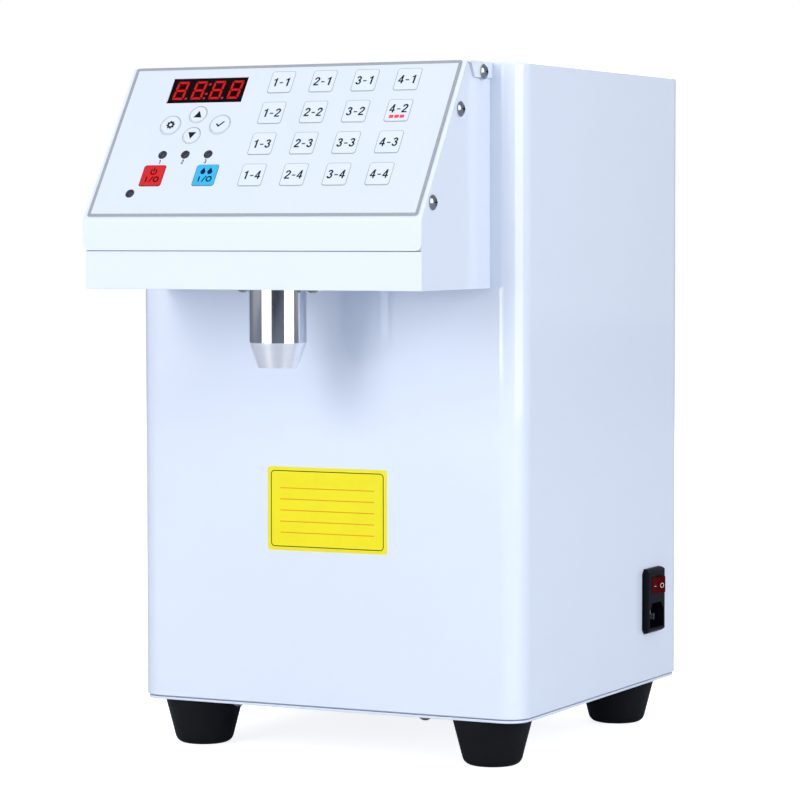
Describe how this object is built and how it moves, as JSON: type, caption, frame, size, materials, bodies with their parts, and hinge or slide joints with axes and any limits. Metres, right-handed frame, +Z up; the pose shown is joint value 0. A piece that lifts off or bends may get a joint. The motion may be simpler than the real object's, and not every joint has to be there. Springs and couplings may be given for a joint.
{
  "type": "syrup dispenser",
  "caption": "Counter-top fructose dispenser with a keypad head over the cup, a drop-in tank, a gear pump and a mains inlet.",
  "frame": {"origin": "on the counter, midway across the cabinet's width and midway along the machine's depth from the lip of the head to the rear sheet", "axes": "+Z up, -Y to the user (keys and nozzle), +X to the side with the mains inlet"},
  "size_m": [0.277, 0.3597, 0.4385],
  "materials": {
    "white_enamel": "glossy powder coat, white with a cool cast",
    "plated_steel": "bright zinc or stainless",
    "panel_film": "printed polyester film with a grey border",
    "key_white": "printed film pad with a thin grey outline and a key number",
    "key_red": "printed film pad",
    "key_blue": "printed film pad",
    "display_lens": "dark red filter window with lit seven-segment digits",
    "display_module": "black display module",
    "led_lens": "dark, unlit",
    "circuit_board": "green solder mask",
    "polished_steel": "polished stainless steel",
    "satin_steel": "satin turned stainless steel",
    "poppet_plastic": "natural polymer",
    "outlet_brass": "turned",
    "knob_black": "moulded",
    "heater_silicone": "silicone heating mat",
    "pump_metal": "machined",
    "gear_plastic": "natural polymer",
    "motor_case": "dark",
    "hose_silicone": "translucent silicone",
    "supply_case": "folded sheet",
    "inlet_black": "moulded",
    "pin_brass": "plated",
    "rocker_red": "translucent red",
    "foot_rubber": "black moulded rubber",
    "label_yellow": "plain printed vinyl sticker with a thin frame"
  },
  "bodies": {
    "root": {"body_shell": "white_enamel", "rear_cover": "white_enamel", "base_plate": "white_enamel", "case_screws": "plated_steel", "head_box": "white_enamel", "panel_cover": "white_enamel", "panel_screws": "plated_steel", "control_overlay": "panel_film", "display_window": "display_lens", "led_display": "display_module", "indicator_leds": "led_lens", "control_board": "circuit_board", "nozzle_sleeve": "polished_steel", "nozzle_tip": "satin_steel", "valve_body": "satin_steel", "valve_spring": "satin_steel", "tank": "polished_steel", "tank_outlet": "outlet_brass", "heater_band": "heater_silicone", "pump_housing": "pump_metal", "pump_cover": "pump_metal", "motor_bracket": "plated_steel", "pump_motor": "motor_case", "suction_hose": "hose_silicone", "delivery_hose": "hose_silicone", "power_supply": "supply_case", "inlet_socket": "inlet_black", "inlet_pins": "pin_brass", "rubber_feet": "foot_rubber", "foot_screws": "plated_steel", "front_sticker": "label_yellow"},
    "key_1_1_pad": {"key_1_1": "key_white"},
    "key_1_2_pad": {"key_1_2": "key_white"},
    "key_1_3_pad": {"key_1_3": "key_white"},
    "key_1_4_pad": {"key_1_4": "key_white"},
    "key_2_1_pad": {"key_2_1": "key_white"},
    "key_2_2_pad": {"key_2_2": "key_white"},
    "key_2_3_pad": {"key_2_3": "key_white"},
    "key_2_4_pad": {"key_2_4": "key_white"},
    "key_3_1_pad": {"key_3_1": "key_white"},
    "key_3_2_pad": {"key_3_2": "key_white"},
    "key_3_3_pad": {"key_3_3": "key_white"},
    "key_3_4_pad": {"key_3_4": "key_white"},
    "key_4_1_pad": {"key_4_1": "key_white"},
    "key_4_2_pad": {"key_4_2": "key_white"},
    "key_4_3_pad": {"key_4_3": "key_white"},
    "key_4_4_pad": {"key_4_4": "key_white"},
    "key_up_pad": {"key_up": "key_white"},
    "key_down_pad": {"key_down": "key_white"},
    "key_set_pad": {"key_set": "key_white"},
    "key_save_pad": {"key_save": "key_white"},
    "key_power_pad": {"key_power": "key_red"},
    "key_flow_pad": {"key_flow": "key_blue"},
    "poppet": {"valve_poppet": "poppet_plastic"},
    "lid": {"tank_lid": "polished_steel", "lid_knob": "knob_black"},
    "drive_rotor": {"drive_gear": "gear_plastic", "motor_shaft": "plated_steel"},
    "driven_rotor": {"driven_gear": "gear_plastic"},
    "rocker": {"power_rocker": "rocker_red"}
  },
  "joints": [
    {"name": "key_1_1_press", "type": "slide", "parent": "root", "child": "key_1_1_pad", "axis": [0, 0.8352, -0.55], "range_m": [0, 0.0004], "stiffness_N_per_m": 1500},
    {"name": "key_1_2_press", "type": "slide", "parent": "root", "child": "key_1_2_pad", "axis": [0, 0.8352, -0.55], "range_m": [0, 0.0004], "stiffness_N_per_m": 1500},
    {"name": "key_1_3_press", "type": "slide", "parent": "root", "child": "key_1_3_pad", "axis": [0, 0.8352, -0.55], "range_m": [0, 0.0004], "stiffness_N_per_m": 1500},
    {"name": "key_1_4_press", "type": "slide", "parent": "root", "child": "key_1_4_pad", "axis": [0, 0.8352, -0.55], "range_m": [0, 0.0004], "stiffness_N_per_m": 1500},
    {"name": "key_2_1_press", "type": "slide", "parent": "root", "child": "key_2_1_pad", "axis": [0, 0.8352, -0.55], "range_m": [0, 0.0004], "stiffness_N_per_m": 1500},
    {"name": "key_2_2_press", "type": "slide", "parent": "root", "child": "key_2_2_pad", "axis": [0, 0.8352, -0.55], "range_m": [0, 0.0004], "stiffness_N_per_m": 1500},
    {"name": "key_2_3_press", "type": "slide", "parent": "root", "child": "key_2_3_pad", "axis": [0, 0.8352, -0.55], "range_m": [0, 0.0004], "stiffness_N_per_m": 1500},
    {"name": "key_2_4_press", "type": "slide", "parent": "root", "child": "key_2_4_pad", "axis": [0, 0.8352, -0.55], "range_m": [0, 0.0004], "stiffness_N_per_m": 1500},
    {"name": "key_3_1_press", "type": "slide", "parent": "root", "child": "key_3_1_pad", "axis": [0, 0.8352, -0.55], "range_m": [0, 0.0004], "stiffness_N_per_m": 1500},
    {"name": "key_3_2_press", "type": "slide", "parent": "root", "child": "key_3_2_pad", "axis": [0, 0.8352, -0.55], "range_m": [0, 0.0004], "stiffness_N_per_m": 1500},
    {"name": "key_3_3_press", "type": "slide", "parent": "root", "child": "key_3_3_pad", "axis": [0, 0.8352, -0.55], "range_m": [0, 0.0004], "stiffness_N_per_m": 1500},
    {"name": "key_3_4_press", "type": "slide", "parent": "root", "child": "key_3_4_pad", "axis": [0, 0.8352, -0.55], "range_m": [0, 0.0004], "stiffness_N_per_m": 1500},
    {"name": "key_4_1_press", "type": "slide", "parent": "root", "child": "key_4_1_pad", "axis": [0, 0.8352, -0.55], "range_m": [0, 0.0004], "stiffness_N_per_m": 1500},
    {"name": "key_4_2_press", "type": "slide", "parent": "root", "child": "key_4_2_pad", "axis": [0, 0.8352, -0.55], "range_m": [0, 0.0004], "stiffness_N_per_m": 1500},
    {"name": "key_4_3_press", "type": "slide", "parent": "root", "child": "key_4_3_pad", "axis": [0, 0.8352, -0.55], "range_m": [0, 0.0004], "stiffness_N_per_m": 1500},
    {"name": "key_4_4_press", "type": "slide", "parent": "root", "child": "key_4_4_pad", "axis": [0, 0.8352, -0.55], "range_m": [0, 0.0004], "stiffness_N_per_m": 1500},
    {"name": "key_up_press", "type": "slide", "parent": "root", "child": "key_up_pad", "axis": [0, 0.8352, -0.55], "range_m": [0, 0.0004], "stiffness_N_per_m": 1500},
    {"name": "key_down_press", "type": "slide", "parent": "root", "child": "key_down_pad", "axis": [0, 0.8352, -0.55], "range_m": [0, 0.0004], "stiffness_N_per_m": 1500},
    {"name": "key_set_press", "type": "slide", "parent": "root", "child": "key_set_pad", "axis": [0, 0.8352, -0.55], "range_m": [0, 0.0004], "stiffness_N_per_m": 1500},
    {"name": "key_save_press", "type": "slide", "parent": "root", "child": "key_save_pad", "axis": [0, 0.8352, -0.55], "range_m": [0, 0.0004], "stiffness_N_per_m": 1500},
    {"name": "key_power_press", "type": "slide", "parent": "root", "child": "key_power_pad", "axis": [0, 0.8352, -0.55], "range_m": [0, 0.0004], "stiffness_N_per_m": 1500},
    {"name": "key_flow_press", "type": "slide", "parent": "root", "child": "key_flow_pad", "axis": [0, 0.8352, -0.55], "range_m": [0, 0.0004], "stiffness_N_per_m": 1500},
    {"name": "valve_open", "type": "slide", "parent": "root", "child": "poppet", "axis": [0, 0, -1], "range_m": [0, 0.003], "stiffness_N_per_m": 400, "springref_m": -0.002, "deforming": ["valve_spring"]},
    {"name": "lid_lift", "type": "slide", "parent": "root", "child": "lid", "axis": [0, 0, 1], "range_m": [0, 0.16]},
    {"name": "pump_turn", "type": "hinge", "parent": "root", "child": "drive_rotor", "pos_m": [0, 0, 0.059], "axis": [0, 1, 0], "continuous": true},
    {"name": "driven_turn", "type": "hinge", "parent": "root", "child": "driven_rotor", "pos_m": [0, 0, 0.077], "axis": [0, 1, 0], "continuous": true},
    {"name": "rocker_switch", "type": "hinge", "parent": "root", "child": "rocker", "pos_m": [0.134, 0.1261, 0.0954], "axis": [0, 0, 1], "range_deg": [0, 26.2]}
  ],
  "couplings": [
    {"joint": "driven_turn", "follows": "pump_turn", "ratio": -1}
  ]
}
